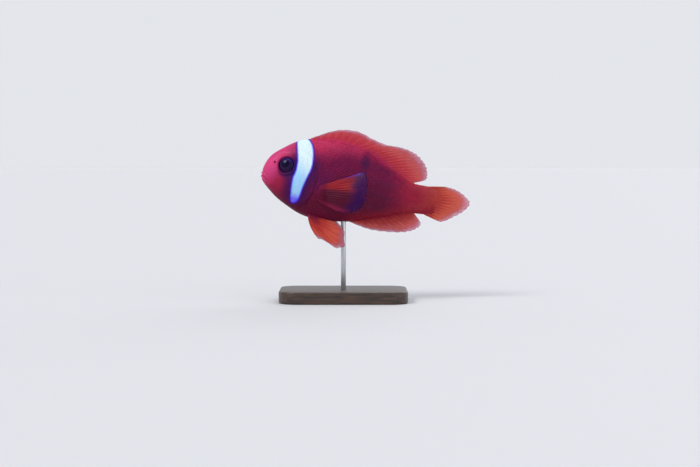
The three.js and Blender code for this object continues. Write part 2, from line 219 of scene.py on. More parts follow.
fine = np.linspace(0, 1, 4000)
outline = smooth_curve(SECTIONS, fine)
growth = np.abs(np.diff(outline[:, 0])) + np.abs(np.diff(outline[:, 1] - outline[:, 2])) / 2
ring_gap = np.interp(outline[1:, 0], [0, 0.03, 0.2, 0.35, 0.5, 1.06], [0.6, 0.7, 0.8, 1.1, 1.9, 1.6])
run = np.append(0, np.cumsum(growth / ring_gap))
ring_places = np.interp(np.linspace(0, 1, BODY_RINGS + 1), run / run[-1], fine)
turn = np.linspace(0, 2 * np.pi, BODY_AROUND, endpoint=False)
along, around = np.meshgrid(ring_places, turn + 0.2 * np.sin(2 * turn), indexing="ij")
form = body_points(along, around)
form[-1] = form[-1].mean(0)
normals = outward(form, True)
normals[0] = (-1, 0, 0)
normals[-1] = (1, 0, 0)
lifts = np.zeros(form.shape[:2])
has_folds = form[:, 0, 0] < 0.78 * LENGTH
lifts[has_folds] = relief(form[has_folds][..., 0] / LENGTH, form[has_folds][..., 2] / LENGTH)
lifts[0] = lifts[1].mean()
skin_points = form + normals * (lifts * MM - COAT_DEPTH)[..., None]


def face_outwards(shape):
    """Turns a closed shape right side out."""
    if shape.calc_volume(signed=True) < 0:
        bmesh.ops.reverse_faces(shape, faces=shape.faces)


def new_piece(name, shape, *materials):
    """A finished piece from a bmesh, with its place in its mesh."""
    mesh = bpy.data.meshes.new(name)
    shape.to_mesh(mesh)
    shape.free()
    piece = bpy.data.objects.new(name, mesh)
    bpy.context.scene.collection.objects.link(piece)
    for material in materials:
        mesh.materials.append(material)
    mesh.shade_smooth()
    return piece


def apply_modifiers(piece):
    """Makes what a piece's modifiers show into its own mesh."""
    shown = piece.evaluated_get(bpy.context.evaluated_depsgraph_get())
    made = bpy.data.meshes.new_from_object(shown)
    piece.modifiers.clear()
    bare = piece.data
    piece.data = made
    bpy.data.meshes.remove(bare)


def merge(piece, other, operation, material_mode="INDEX"):
    """Welds another closed shape to a piece, or cuts it out of it."""
    change = piece.modifiers.new(operation.lower(), "BOOLEAN")
    change.operation = operation
    change.solver = "MANIFOLD"
    change.material_mode = material_mode
    change.object = other
    apply_modifiers(piece)
    bpy.data.objects.remove(other)


casting = bmesh.new()
bmesh.ops.create_uvsphere(casting, u_segments=BODY_AROUND, v_segments=BODY_RINGS, radius=1.0)
ball = np.array([v.co for v in casting.verts])
ring = np.rint(np.arccos(np.clip(ball[:, 2], -1, 1)) / np.pi * BODY_RINGS).astype(int)
column = np.rint(np.arctan2(ball[:, 1], ball[:, 0]) / (2 * np.pi) * BODY_AROUND).astype(int) % BODY_AROUND
for vertex, place in zip(casting.verts, to_world(skin_points[ring, column])):
    vertex.co = place


# ---- Markings ----------------------------------------------------------------------------
# The skin is airbrushed in thin coats: crimson over maroon, with one white bar edged in violet
# behind each eye. The snout and brow are paler and pinker with a painted sheen of light from above,
# and painted shade and painted light are sprayed round the eye, the bar, the nostril, the pectoral
# fin's root, the tail stalk and the underside. Skin and scales are sprayed together, so both take
# their colours from the one group of nodes.


def new_material(name, **sockets):
    """A material whose one shader takes its plain values straight on its own sockets."""
    material = bpy.data.materials.new(name)
    material.use_nodes = True
    shader = material.node_tree.nodes["Principled BSDF"]
    for socket, value in sockets.items():
        shader.inputs[socket.replace("_", " ")].default_value = value
    return material, material.node_tree, shader


def node(tree, kind, inputs=None, **settings):
    """A shader node with its settings, its plain values and what is wired into it."""
    made = tree.nodes.new("ShaderNode" + kind)
    for name, value in settings.items():
        setattr(made, name, value)
    for name, value in (inputs or {}).items():
        if isinstance(value, bpy.types.NodeSocket):
            tree.links.new(value, made.inputs[name])
        else:
            made.inputs[name].default_value = value
    return made


def maths(tree, operation, *values):
    """One step of arithmetic."""
    return node(tree, "Math", dict(enumerate(values)), operation=operation).outputs[0]


def rise(tree, amount, start, end):
    """0 before the start, 1 after the end and a soft rise between them."""
    inputs = {"Value": amount, "From Min": start, "From Max": end}
    return node(tree, "MapRange", inputs, interpolation_type="SMOOTHSTEP").outputs[0]


def scaled(tree, amount, factor, shift):
    """A value times a factor, and then shifted."""
    return maths(tree, "MULTIPLY_ADD", amount, factor, shift)


def times(tree, first, *others):
    """The product of some values."""
    for other in others:
        first = maths(tree, "MULTIPLY", first, other)
    return first


def band(tree, amount, start, full, waning, end):
    """1 in the middle of a band and 0 on both sides of it, with soft rises between them."""
    return times(tree, rise(tree, amount, start, full), rise(tree, amount, end, waning))


def paint(*mixed):
    """A colour as it is mixed on the palette, 0 to 255, in the light values that a shader takes."""
    shares = [part / 255 for part in mixed]
    return (*(c / 12.92 if c < 0.04045 else ((c + 0.055) / 1.055) ** 2.4 for c in shares), 1)


def spray(tree, colour, *coats):
    """Coats of colour, one over the other: how thick each is, its own colour and any strength."""
    for thick, over, *strength in coats:
        inputs = {0: times(tree, thick, *strength), 6: colour, 7: over}
        colour = node(tree, "Mix", inputs, data_type="RGBA").outputs[2]
    return colour


def fish_shares(tree):
    """Places along, across and up the fish, as shares of its length."""
    mapped = node(tree, "Mapping", {
        "Vector": node(tree, "TexCoord").outputs["Object"], "Scale": (1 / LENGTH,) * 3,
        "Rotation": (0, -NOSE_UP, 0), "Location": -origin / LENGTH})
    parts = node(tree, "SeparateXYZ", {0: mapped.outputs[0]})
    return mapped.outputs[0], *parts.outputs


def stretched(tree, place, scale, turn=(0, 0, 0)):
    """A place turned and stretched, for a pattern that runs one way."""
    return node(tree, "Mapping", {"Vector": place, "Rotation": turn, "Scale": scale}).outputs[0]


def far_from(tree, place, spot, stretch=(1, 1)):
    """How far a place is from a spot, with both stretched before they are measured."""
    moved = node(tree, "Mapping", {"Vector": place, "Scale": (*stretch, 1),
                                   "Location": (-spot[0] * stretch[0], -spot[1] * stretch[1], 0)})
    return node(tree, "VectorMath", {0: moved.outputs[0]}, operation="LENGTH").outputs["Value"]


def noise(tree, place, scale, detail=3.0, **inputs):
    """Cloudy values round one half."""
    inputs = {"Vector": place, "Scale": scale, "Detail": detail, **inputs}
    return node(tree, "TexNoise", inputs).outputs["Fac"]


def edge_line(tree, height, points):
    """How far along the fish an edge of the bar lies at each height."""
    curve = node(tree, "FloatCurve", {"Value": scaled(tree, height, 2.0, 0.4)})
    line = curve.mapping.curves[0]
    spots = [(2 * v + 0.4, 2 * u) for u, v in points]
    while len(line.points) < len(spots):
        line.points.new(0.5, 0.5)
    for point, spot in zip(line.points, spots):
        point.location = spot
    curve.mapping.extend = "HORIZONTAL"
    curve.mapping.update()
    return times(tree, curve.outputs[0], 0.5)


BAR_FRONT = [(0.196, -0.141), (0.193, -0.101), (0.19, -0.045), (0.191, 0.01), (0.203, 0.068),
             (0.204, 0.115), (0.196, 0.16), (0.182, 0.222), (0.179, 0.26)]
BAR_REAR = [(0.222, -0.144), (0.237, -0.124), (0.251, -0.08), (0.26, -0.033), (0.276, 0.025),
            (0.295, 0.092), (0.296, 0.148), (0.286, 0.2), (0.268, 0.236), (0.236, 0.262)]
BAR_FOOT = -0.134
BAR_MIDDLE = 0.24
ANAL_ROOT_SLOPE, ANAL_ROOT_RISE = 0.29, -0.337
FLANK_PATCH_AT, FLANK_PATCH_STRETCH = (0.603, 0.168), (1, 0.42)
MAROON, CRIMSON = paint(98, 8, 61), paint(209, 51, 97)
BELLY_RED, THROAT_RED = paint(82, 3, 42), paint(109, 9, 54)
STALK_RED, TAIL_ORANGE, ROOT_RED = paint(165, 28, 50), paint(178, 60, 52), paint(138, 16, 34)
CHEEK_RED, PAINTED_SNOUT_SHEEN = paint(154, 28, 66), paint(212, 66, 126)
EYE_SHADE, FLANK_DARK_PATCH, BAR_EDGE = paint(58, 8, 72), paint(44, 6, 66), paint(34, 6, 150)
BAR_WHITE, BAR_SHADE_BLUE, BAR_SHADE_VIOLET = paint(228, 250, 253), paint(162, 216, 255), paint(108, 80, 252)

markings = bpy.data.node_groups.new("markings", "ShaderNodeTree")
markings.interface.new_socket("Colour", in_out="OUTPUT", socket_type="NodeSocketColor")
markings.interface.new_socket("Bar", in_out="OUTPUT", socket_type="NodeSocketFloat")
tree = markings
place, u, _, v = fish_shares(tree)
flank = node(tree, "CombineXYZ", {0: u, 1: v}).outputs[0]
blotches = noise(tree, place, 9.0, 4.0)
speckle = noise(tree, place, 60.0)

# Crimson back over a maroon flank, darker along the belly and behind the pectoral fin, with painted
# light lifting the lowest edge of the belly and painted shade between the bar and the pectoral fin
front_of_back = scaled(tree, rise(tree, u, 0.3, 0.5), -0.045, maths(tree, "ADD", v, 0.03))
rear_of_back = scaled(tree, u, 0.5, v)
on_back = maths(tree, "MAXIMUM", times(tree, rise(tree, front_of_back, 0.135, 0.28), 0.92),
                times(tree, rise(tree, rear_of_back, 0.5, 0.55), 0.5))
deep = times(tree, band(tree, u, 0.5, 0.66, 0.78, 0.92), band(tree, v, -0.13, -0.05, 0.03, 0.1))
# Painted shade on the flank between the bar and the pectoral fin
painted_shade_by_fin = times(tree, band(tree, u, 0.27, 0.33, 0.39, 0.45), band(tree, v, -0.06, -0.01, 0.04, 0.1))
colour = spray(
    tree, MAROON,
    (on_back, CRIMSON),
    (rise(tree, v, 0.02, -0.13), BELLY_RED),
    # Painted light: the lowest edge of the belly is lifted to a lighter red
    (rise(tree, v, -0.16, -0.2), THROAT_RED, 0.7),
    (deep, paint(64, 4, 46), 0.5),
    (painted_shade_by_fin, paint(44, 8, 80), 0.38))

# Redder tail stalk with orange rims, the lower one widened by painted light where the stalk turns
# down from the light, and a red strip above the anal fin, where the body's red runs into the fin's
# root and painted light lifts the shaded underside
from_middle = maths(tree, "ABSOLUTE", maths(tree, "ADD", v, -0.012))
stalk_rims = times(tree, rise(tree, from_middle, 0.02, 0.08), rise(tree, u, 0.84, 0.98))
over_anal_root = scaled(tree, u, -ANAL_ROOT_SLOPE, maths(tree, "ADD", v, -ANAL_ROOT_RISE))
reddened = times(tree, rise(tree, over_anal_root, 0.055, -0.02), rise(tree, u, 0.46, 0.62))
colour = spray(
    tree, colour,
    (rise(tree, u, 0.73, 0.96), STALK_RED, 0.9),
    (rise(tree, u, 0.92, 1.05), TAIL_ORANGE),
    (stalk_rims, paint(196, 84, 88), 0.55),
    (reddened, ROOT_RED, 0.9))

# Face: a painted pink sheen of light from above on the snout and brow, freckled, and dark from behind the eye
# to the throat
up_to_eye = times(tree, maths(tree, "MINIMUM", v, 0.06), 1.2)
painted_tip_sheen = rise(tree, scaled(tree, u, -1.3, up_to_eye), -0.17, -0.01)
painted_brow_sheen = rise(tree, scaled(tree, u, -0.35, v), 0.06, 0.14)
patchy = scaled(tree, blotches, 0.7, 0.55)
face = spray(
    tree, CHEEK_RED,
    (rise(tree, v, -0.02, -0.12), THROAT_RED),
    (times(tree, maths(tree, "MAXIMUM", painted_tip_sheen, painted_brow_sheen), patchy), PAINTED_SNOUT_SHEEN),
    (rise(tree, noise(tree, place, 110.0, 2.0), 0.62, 0.74), paint(120, 14, 56), 0.3),
    (times(tree, rise(tree, u, 0.13, 0.19), rise(tree, v, 0.17, 0.06)), BELLY_RED, 0.75))

# Blotches and speckles all over, painted shade below and behind the eye and in the nostril's pit,
# and a dark patch on the flank above the pectoral fin's tip
eye_far = far_from(tree, flank, (EYE_AT[0] + 0.016, EYE_AT[1] - 0.02))
flank_patch_far = far_from(tree, flank, FLANK_PATCH_AT, FLANK_PATCH_STRETCH)
nostril_far = far_from(tree, flank, NOSTRIL)
colour = spray(
    tree, colour,
    (rise(tree, u, 0.215, 0.12), face),
    (rise(tree, blotches, 0.42, 0.7), paint(60, 6, 44), 0.2),
    (rise(tree, speckle, 0.5, 0.8), paint(206, 60, 84), 0.14),
    (rise(tree, eye_far, 0.074, 0.048), EYE_SHADE, 0.85),
    (rise(tree, flank_patch_far, 0.04, 0.008), FLANK_DARK_PATCH, 0.85),
    (rise(tree, nostril_far, 0.0075, 0.004), paint(34, 2, 26), 0.85))

# The bar, with its violet edge and the painted shade round it, deepest behind its lower half
fine_shift = scaled(tree, noise(tree, place, 70.0, 2.0), 0.004, -0.002)
wavy = maths(tree, "ADD", u, fine_shift)
past_front = maths(tree, "SUBTRACT", wavy, edge_line(tree, v, BAR_FRONT))
before_rear = maths(tree, "SUBTRACT", edge_line(tree, v, BAR_REAR), wavy)
above_foot = maths(tree, "SUBTRACT", maths(tree, "ADD", v, fine_shift), BAR_FOOT)
inside = maths(tree, "SMOOTH_MIN", maths(tree, "SMOOTH_MIN", past_front, before_rear, 0.01), above_foot, 0.04)
shade = times(tree, rise(tree, inside, -0.08, -0.004), band(tree, v, -0.16, -0.08, 0.08, 0.22))
painted_shade_behind_bar = times(tree, rise(tree, before_rear, -0.05, -0.012), rise(tree, u, 0.2, 0.24),
                   band(tree, v, -0.18, -0.13, -0.02, 0.04))
up_and_back = maths(tree, "ADD", v, maths(tree, "ADD", u, -BAR_MIDDLE))
streaks = noise(tree, stretched(tree, place, (90, 90, 14)), 1.0)
# The bar is white with a faint blue tint; painted shade turns it sky blue low down and towards the eye, and
# violet at its foot
bar = spray(
    tree, BAR_WHITE,
    (rise(tree, up_and_back, 0.16, 0.0), BAR_SHADE_BLUE, 0.95),
    (rise(tree, v, -0.06, -0.115), BAR_SHADE_VIOLET, 0.92),
    (rise(tree, inside, 0.012, 0.001), paint(70, 58, 246), 0.9),
    (rise(tree, streaks, 0.5, 0.75), paint(150, 186, 236), 0.35))
bar_cover = rise(tree, inside, -0.002, 0.0025)
colour = spray(
    tree, colour,
    # Painted shade round the bar, and more of it behind the bar's lower half
    (shade, paint(34, 7, 80), 0.96),
    (painted_shade_behind_bar, paint(16, 0, 72), 0.5),
    (rise(tree, inside, -0.011, -0.003), BAR_EDGE, 0.92),
    (bar_cover, bar))
exits = tree.nodes.new("NodeGroupOutput")
tree.links.new(colour, exits.inputs["Colour"])
tree.links.new(bar_cover, exits.inputs["Bar"])


def sprayed(tree):
    """The markings' colour in a material, and where the bar covers it."""
    made = node(tree, "Group", node_tree=markings)
    return made.outputs["Colour"], made.outputs["Bar"]


def bump(tree, shader, height, distance, strength):
    """Fine relief that the light shows, as high as the distance."""
    made = node(tree, "Bump", {"Height": height, "Distance": distance, "Strength": strength})
    tree.links.new(made.outputs["Normal"], shader.inputs["Normal"])


def uneven_gloss(tree, shader, amount, smooth, rough):
    """A finish whose roughness follows a pattern."""
    made = node(tree, "MapRange", {"Value": amount, "To Min": smooth, "To Max": rough})
    tree.links.new(made.outputs[0], shader.inputs["Roughness"])


RED_GLOSS = (1.0, 0.3, 0.45, 1)
skin_finish, tree, shader = new_material("skin_lacquer", Roughness=0.38, Coat_Weight=0.07, Coat_Roughness=0.18,
                                         Specular_IOR_Level=0.2, Specular_Tint=RED_GLOSS,
                                         Subsurface_Weight=0.06, Subsurface_Scale=0.001)
shader.inputs["Subsurface Radius"].default_value = (1.0, 0.25, 0.15)
place, *_ = fish_shares(tree)
colour, _ = sprayed(tree)
pores = node(tree, "TexVoronoi", {"Vector": place, "Scale": 190.0}).outputs["Distance"]
wrinkles = noise(tree, stretched(tree, place, (90, 60, 34), (0, 0.7, 0)), 1.0, 4.0)
grainy = noise(tree, place, 150.0, 4.0)
tree.links.new(colour, shader.inputs["Base Color"])
uneven_gloss(tree, shader, grainy, 0.28, 0.5)
uneven = scaled(tree, wrinkles, 1.5, maths(tree, "ADD", pores, grainy))
bump(tree, shader, uneven, 0.1 * MM, 0.55)


# ---- Fins --------------------------------------------------------------------------------
# Each fin is cast in clear flexible resin: bony rays that branch towards the margin, with a thin
# membrane between them. The roots are let into the body and filleted, so that the skin flows out
# over them, and the resin is tinted orange red and left clearer along the margins.

SIDE_ROUNDING = 0.4
FORKS = [(0.25, 0.32, 0.8), (0.125, 0.62, 1.0)]
# The attribute with each point's ray counts in this many rays, so that its values stay below 1.
RAYS_IN_ALL = 32

# Root and margin run from the first ray to the last: along, out to the right and up, as shares of
# the fish's length. The flare is how much a root swells, how far out and how widely, in
# millimetres, and the wave is how far the membrane ripples. The scaly part is a share of its reach.
FIN = dict(rows=26, spines=0, columns_per_ray=8, normal=(0, 1, 0), swings=True, wave=0.5, waves=1.5,
           flare=(0.8, 0.0, 3.4), bow=(0, 0, 0), scaly_from=1.0)
DORSAL = dict(
    FIN, kind="dorsal", rays=27, spines=10, wave=0.8, notch=0.022, ray_thick=(0.95, 0.3), scaly=0.42,
    ray_places=([0, 9.5, 26], [0, 0.5175, 1], [0, 0.511, 1]),
    root=[(0.252, 0, 0.236), (0.35, 0, 0.25), (0.44, 0, 0.252), (0.53, 0, 0.24), (0.6, 0, 0.222),
          (0.69, 0, 0.175), (0.78, 0, 0.128), (0.873, 0, 0.08)],
    margin=[(0.262, 0, 0.263), (0.3, 0, 0.284), (0.37, 0, 0.32), (0.45, 0, 0.344), (0.54, 0, 0.344),
            (0.625, 0, 0.315), (0.71, 0, 0.294), (0.81, 0, 0.29), (0.89, 0, 0.268), (0.952, 0, 0.222),
            (0.981, 0, 0.165), (0.976, 0, 0.122), (0.925, 0, 0.1)])
ANAL = dict(
    FIN, kind="anal", rays=15, spines=2, notch=0.03, ray_thick=(0.9, 0.26), scaly=0.42,
    root=[(0.548, 0, -0.175), (0.66, 0, -0.148), (0.75, 0, -0.122), (0.84, 0, -0.094), (0.92, 0, -0.07)],
    margin=[(0.552, 0, -0.192), (0.66, 0, -0.218), (0.75, 0, -0.223), (0.86, 0, -0.214), (0.935, 0, -0.194),
            (0.978, 0, -0.166), (0.986, 0, -0.136), (0.95, 0, -0.097)])
CAUDAL = dict(
    FIN, kind="caudal", rays=16, rows=32, notch=0.02, ray_thick=(1.15, 0.26), scaly=0.45, scaly_from=2.2,
    root=[(0.985, 0, 0.085), (0.985, 0, 0), (0.985, 0, -0.081)],
    margin=[(1.1, 0, 0.101), (1.165, 0, 0.092), (1.225, 0, 0.063), (1.264, 0, 0.024), (1.232, 0, -0.03),
            (1.178, 0, -0.072), (1.112, 0, -0.112), (1.062, 0, -0.104)])
PECTORAL = dict(
    FIN, kind="pectoral", rays=17, swings=False, waves=1.0, notch=0.02, ray_thick=(0.75, 0.24), scaly=0.2,
    scaly_from=0.8, flare=(0.95, 2.6, 2.3),
    root=[(0.344, 0.087, -0.014), (0.334, 0.088, -0.055), (0.35, 0.076, -0.098)],
    margin=[(0.61, 0.182, 0.121), (0.634, 0.206, 0.075), (0.641, 0.22, 0.01), (0.634, 0.222, -0.05),
            (0.61, 0.208, -0.102), (0.56, 0.178, -0.134), (0.497, 0.14, -0.142)])
PELVIC = dict(
    FIN, kind="pelvic", rays=6, spines=1, columns_per_ray=16, swings=False, notch=0.035,
    ray_thick=(1.1, 0.3), scaly=0.2, flare=(0.8, 2.0, 2.4), bow=(-0.1, 0, -0.02),
    root=[(0.31, 0.037, -0.176), (0.338, 0.035, -0.187), (0.37, 0.027, -0.193)],
    margin=[(0.395, 0.082, -0.319), (0.448, 0.098, -0.331), (0.512, 0.112, -0.355), (0.559, 0.112, -0.334),
            (0.542, 0.086, -0.254), (0.485, 0.052, -0.203)])


def paired(fin, side, turned, turned_normal):
    """A paired fin on one side, -1 for the left and 1 for the right."""
    mirrored = {line: [(x, side * y, z) for x, y, z in fin[line]] for line in ("root", "margin")}
    name = fin["kind"] + ("_left" if side < 0 else "_right")
    return {**fin, **mirrored, "name": name, "normal": turned_normal(math.radians(turned), side)}


fins = [{**fin, "name": fin["kind"]} for fin in (DORSAL, ANAL, CAUDAL)]
for side in (-1, 1):
    fins.append(paired(PECTORAL, side, 25, lambda a, s: (-math.sin(a), s * math.cos(a), 0)))
    fins.append(paired(PELVIC, side, 26, lambda a, s: (0, s * math.cos(a), math.sin(a))))


def ray_profile(ray, outwards, spines):
    """How much of a ray's full thickness stands at each place: soft rays fork once and then again."""
    forked = np.round(ray) >= spines
    off = np.abs(ray - np.round(ray))
    for apart, start, end in FORKS:
        off = np.abs(off - forked * apart * fade(outwards, start, end))
    return ridge(off, 0.15 - 0.06 * outwards)


def fin_points(fin, ray, outwards):
    """The middle layer of a fin and half its thickness, in metres."""
    last = fin["rays"] - 1
    index, root_share, margin_share = fin.get("ray_places", ([0, last], [0, 1], [0, 1]))
    root = smooth_curve(fin["root"], np.interp(ray, index, root_share)) * LENGTH
    way = smooth_curve(fin["margin"], np.interp(ray, index, margin_share)) * LENGTH - root
    length = np.linalg.norm(way, axis=-1)
    ragged = 0.012 * np.sin(ray * 2.1 + 0.7) * np.sin(ray * 0.83)
    reach = outwards * (1 - fin["notch"] * (1 - np.cos(2 * np.pi * ray)) / 2 - np.abs(ragged))
    arc = (4 * reach * (1 - reach) * length)[..., None]
    normal = np.array(fin["normal"], float)
    ripple = fin["wave"] * MM * reach * np.sin(2 * np.pi * fin["waves"] * ray / last)
    points = root + way * reach[..., None] + np.array(fin["bow"]) * arc + normal * ripple[..., None]
    if fin["swings"]:
        points[..., 1] += swing(points[..., 0])
    web = np.interp(outwards, [0, 0.5, 1], [0.2, 0.13, 0.075])
    bone = np.interp(outwards, [0, 1], fin["ray_thick"]) / 2 * ray_profile(ray, outwards, fin["spines"])
    flare, fleshy_at, fleshy_reach = fin["flare"]
    root_flare = flare * ridge(outwards * length / MM - fleshy_at, fleshy_reach)
    from_side = np.clip(np.minimum(ray, last - ray) / SIDE_ROUNDING, 0, 1)
    rounded = 0.25 + 0.75 * np.sqrt(1 - (1 - from_side) ** 2)
    return points, (web + bone * 0.62 + root_flare) * rounded * MM


def fin_walls(fin, ray, outwards, side):
    """Points on one wall of a fin, -1 or 1 for the side that it looks to."""
    points, half = fin_points(fin, ray, outwards)
    return points + np.array(fin["normal"], float) * (side * half)[..., None]


def cast_fin(fin, material):
    """A fin's blade from a flat sheet, bent to the fin's shape, with each ray's place kept beside it."""
    blade = bmesh.new()
    columns = (fin["rays"] - 1) * fin["columns_per_ray"]
    bmesh.ops.create_grid(blade, x_segments=columns, y_segments=fin["rows"], size=0.5)
    bmesh.ops.solidify(blade, geom=blade.faces[:], thickness=1.0)
    flat = np.array([v.co for v in blade.verts])
    ray = (flat[:, 0] + 0.5) * (fin["rays"] - 1)
    outwards = flat[:, 1] + 0.5
    layer = blade.verts.layers.float_vector.new("ray")
    places = to_world(fin_walls(fin, ray, outwards, np.where(flat[:, 2] > -0.5, 1, -1)))
    for vertex, place, r, t in zip(blade.verts, places, ray, outwards):
        vertex.co = place
        vertex[layer] = (r / RAYS_IN_ALL, t, 0)
    face_outwards(blade)
    return new_piece(fin["name"], blade, material)


def fin_colour(tree, kind):
    """The skin's colour at the root, then streaks along the rays, and how thin the tint is at the rim."""
    middle, outer, rim, thin_from = FIN_TINTS[kind]
    place, *_ = fish_shares(tree)
    rays = node(tree, "Attribute", attribute_name="ray").outputs["Vector"]
    ray, outwards, _ = node(tree, "SeparateXYZ", {0: rays}).outputs
    ray = times(tree, ray, RAYS_IN_ALL)
    blurred = maths(tree, "ADD", outwards, scaled(tree, noise(tree, place, 22.0), 0.24, -0.12))
    combed = node(tree, "CombineXYZ", {0: times(tree, ray, 3.0), 1: times(tree, outwards, 2.4)}).outputs[0]
    streak = noise(tree, combed, 1.0, 4.0, Roughness=0.65)
    forked = rise(tree, ray, FIN_SPINES[kind] - 0.6, FIN_SPINES[kind] - 0.4)
    off, room = maths(tree, "PINGPONG", ray, 0.5), 0.5
    for apart, start, end in FORKS:
        fork = times(tree, rise(tree, outwards, start, end), apart, forked)
        off = maths(tree, "ABSOLUTE", maths(tree, "SUBTRACT", off, fork))
        room = maths(tree, "SUBTRACT", room, fork)
    between = maths(tree, "DIVIDE", off, room)
    tint = spray(
        tree, middle,
        (rise(tree, blurred, 0.35, 0.85), outer),
        (rise(tree, streak, 0.4, 0.7), FIN_LIGHT, 0.15 if kind == "pectoral" else 0.3),
        (rise(tree, between, 0.32, 1.0), FIN_DEEP, 0.34))
    if kind == "dorsal":
        tint = spray(tree, tint, (rise(tree, ray, 12.0, 7.0), DORSAL_FRONT, 0.5))
    if kind == "pectoral":
        # Painted shade darkens the middle rays where the cupped fin turns down from the light, and painted
        # light keeps the lowest rays lighter where the cup turns up again
        fanned = maths(tree, "ADD", ray, times(tree, outwards, -3.0))
        lead = rise(tree, scaled(tree, outwards, -0.7, ray), 0.35, -0.25)
        tint = spray(
            tree, tint,
            (rise(tree, fanned, 2.2, 4.9), PECTORAL_CUP_SHADE, 0.94),
            (rise(tree, ray, 11.5, 14.5), PECTORAL_LOW_RAYS_LIT, 0.85),
            (times(tree, rise(tree, blurred, 0.61, 0.85), rise(tree, ray, 14.5, 10.5)), PECTORAL_RIM, 0.95),
            (times(tree, lead, rise(tree, outwards, 0.4, 0.85)), PECTORAL_LEAD))
    edge = rise(tree, blurred, thin_from, 1.02)
    colour = spray(
        tree, sprayed(tree)[0],
        (rise(tree, blurred, *FIN_TINT_FROM.get(kind, (0.06, 0.34))), tint),
        (edge, rim))
    return colour, edge, outwards, streak, between


def fin_finish(kind):
    """Tinted clear resin, with ridged rays in short joints."""
    material, tree, shader = new_material(kind + "_resin", Roughness=0.38, Coat_Weight=0.06, Coat_Roughness=0.2,
                                          Specular_IOR_Level=0.2, Specular_Tint=RED_GLOSS,
                                          Subsurface_Weight=0.12, Subsurface_Scale=0.0008)
    colour, edge, outwards, streak, between = fin_colour(tree, kind)
    tree.links.new(colour, shader.inputs["Base Color"])
    tree.links.new(scaled(tree, edge, CLEAREST - 1.0, 1.0), shader.inputs["Alpha"])
    joints = maths(tree, "SINE", times(tree, outwards, 170.0))
    ringed = times(tree, rise(tree, between, 0.7, 0.1), scaled(tree, joints, 0.4, 0.8))
    bump(tree, shader, scaled(tree, streak, 1.4, ringed), 0.05 * MM, 0.6)
    return material


CLEAREST = 0.5
FIN_DEEP, FIN_LIGHT, DORSAL_FRONT = paint(140, 24, 40), paint(216, 92, 72), paint(172, 36, 62)
PECTORAL_CUP_SHADE, PECTORAL_LOW_RAYS_LIT = paint(66, 0, 34), paint(122, 20, 60)
PECTORAL_RIM, PECTORAL_LEAD = paint(36, 2, 68), paint(84, 40, 140)
# Tints at the middle, on the outer part and along the rim, and how far out the rim's starts
FIN_TINTS = {
    "dorsal": (paint(188, 56, 70), paint(196, 92, 92), paint(196, 112, 146), 0.76),
    "anal": (paint(164, 52, 50), paint(194, 96, 96), paint(198, 116, 150), 0.74),
    "caudal": (paint(178, 62, 52), paint(202, 96, 76), paint(202, 118, 144), 0.74),
    "pectoral": (paint(130, 8, 26), paint(121, 17, 24), paint(54, 14, 84), 0.86),
    "pelvic": (paint(164, 46, 40), paint(185, 78, 62), paint(178, 98, 124), 0.8),
}
FIN_SPINES = {fin["kind"]: fin["spines"] for fin in fins}
FIN_TINT_FROM = {"caudal": (0.14, 0.42), "pectoral": (0.04, 0.26)}
fin_finishes = {kind: fin_finish(kind) for kind in FIN_TINTS}

FLESH = ["head", "lower_jaw", "gill_cover_left", "gill_cover_right", "trunk", "tail_stalk", "dorsal_fin_spiny",
         "dorsal_fin_soft", "anal_fin", "caudal_fin", "pectoral_fin_left", "pectoral_fin_right",
         "pelvic_fin_left", "pelvic_fin_right"]
SEAM_TOLERANCE = 0.02 * MM
SEAM_SMOOTHINGS = 4
skin = new_piece("skin", casting, skin_finish)
for fin in fins:
    merge(skin, cast_fin(fin, fin_finishes[fin["kind"]]), "UNION", "TRANSFER")


def near_seams(shape):
    """Points where two finishes meet, and two rings of points round them."""
    near = {v for e in shape.edges if len({f.material_index for f in e.link_faces}) > 1 for v in e.verts}
    for _ in range(2):
        near |= {e.other_vert(v) for v in near for e in v.link_edges}
    return list(near)


# Where a fin meets the body, slivers are merged away, what they leave open is closed again, and
# the corner is smoothed into a fillet.
joined = bmesh.new()
joined.from_mesh(skin.data)
bmesh.ops.remove_doubles(joined, verts=near_seams(joined), dist=SEAM_TOLERANCE)
bmesh.ops.delete(joined, geom=[v for v in joined.verts if not v.link_faces], context="VERTS")
bmesh.ops.holes_fill(joined, edges=[e for e in joined.edges if e.is_boundary], sides=0)
bmesh.ops.dissolve_verts(joined, verts=[v for v in joined.verts if len(v.link_edges) == 2])
bmesh.ops.triangulate(joined, faces=[f for f in joined.faces if len(f.verts) > 4])
fillet = near_seams(joined)
for _ in range(SEAM_SMOOTHINGS):
    bmesh.ops.smooth_vert(joined, verts=fillet, factor=0.5, use_axis_x=True, use_axis_y=True, use_axis_z=True)
joined.to_mesh(skin.data)
joined.free()
skin.data.shade_smooth()
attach(skin, "root")
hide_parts(*FLESH)


# ---- Scales ------------------------------------------------------------------------------
# Each scale is a thin vane of clear resin film, pressed in at its front and lying free at its
# round rear edge over the next ones, like tiles. They are laid in rings from the head backwards
# and out over the roots of the fins, smallest on the cheeks and the fins, and then sprayed.

SCALE_HEIGHT = 1.5
SCALE_STEP = 0.72
VANE_THICK = 0.045
PATCH = 0.003


